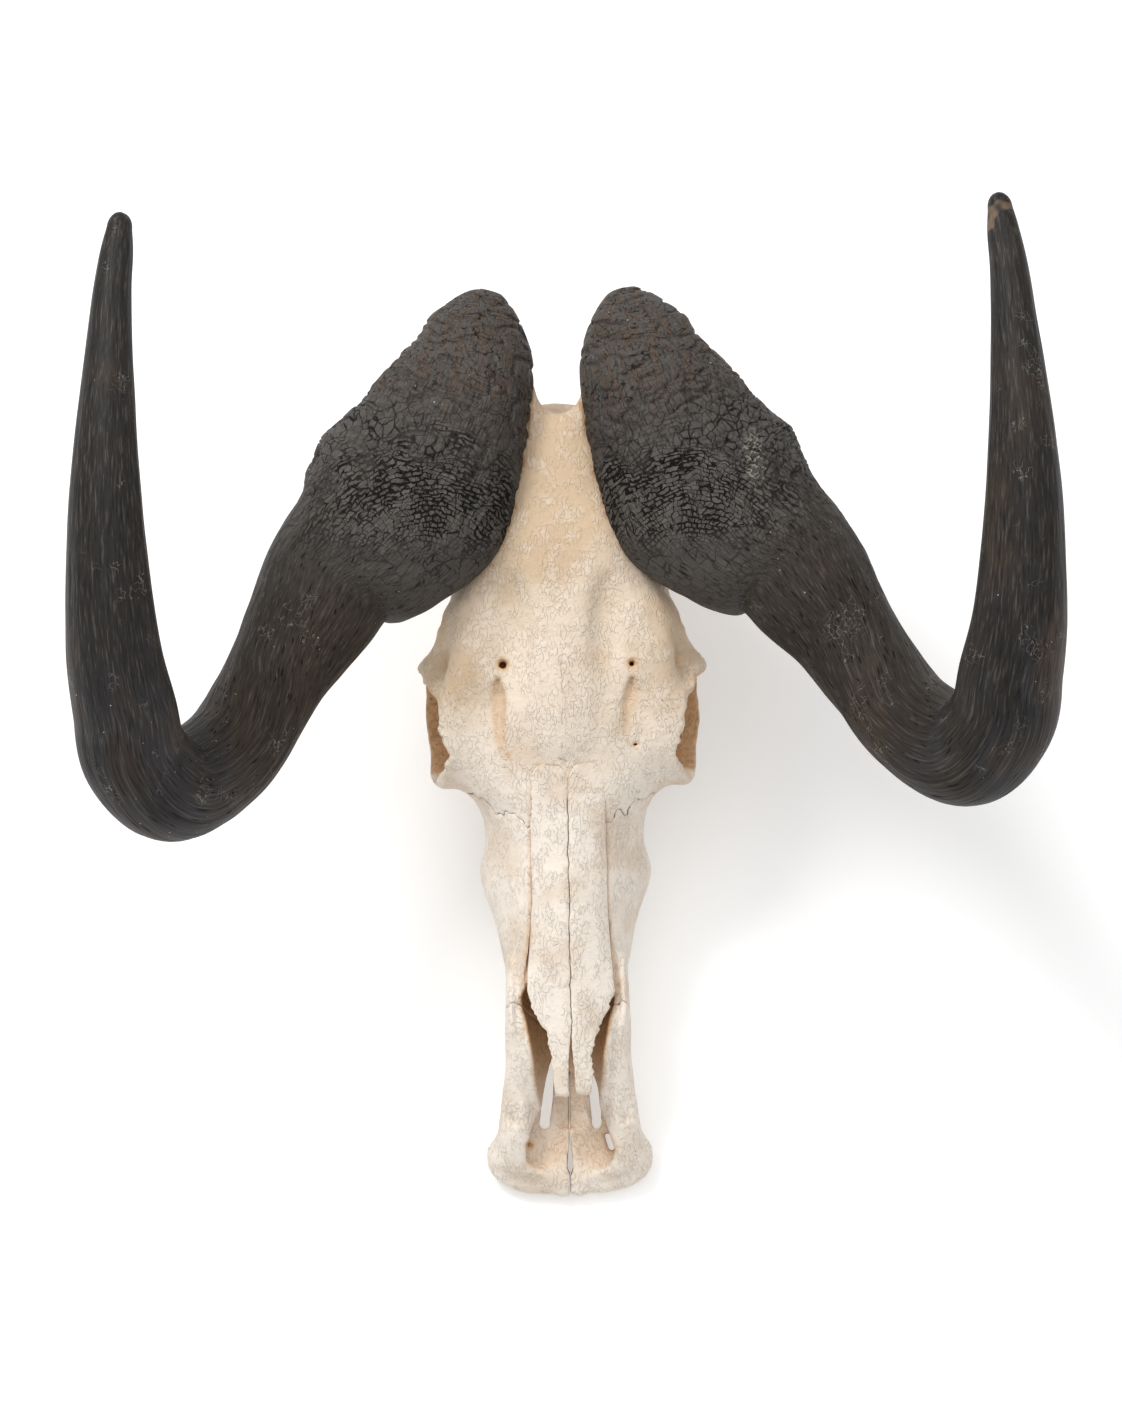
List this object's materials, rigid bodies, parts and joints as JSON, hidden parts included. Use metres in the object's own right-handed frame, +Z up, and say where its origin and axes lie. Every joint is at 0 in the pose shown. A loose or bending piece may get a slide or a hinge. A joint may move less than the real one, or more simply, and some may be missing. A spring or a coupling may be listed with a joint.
{
  "type": "black wildebeest skull",
  "caption": "Bare skull of a black wildebeest without the lower jaw, with dark cracked horn bosses and hooked horns, lying on its teeth.",
  "frame": {"origin": "on the floor under the middle of the bounding box", "axes": "+X to the animal's left across the horns, +Y from the muzzle towards the back of the skull, +Z up from the floor it lies on"},
  "size_m": [0.4917, 0.4375, 0.354],
  "materials": {
    "bone": "dry cream-white bone, tan in the hollows",
    "horn": "charcoal-black horn, cracked on the bosses and smooth on the hooks"
  },
  "bodies": {
    "root": {"cranium": "bone", "maxilla_left": "bone", "maxilla_right": "bone", "premaxilla_left": "bone", "premaxilla_right": "bone", "nasal_left": "bone", "nasal_right": "bone", "horn_left": "horn", "horn_right": "horn"}
  },
  "joints": []
}
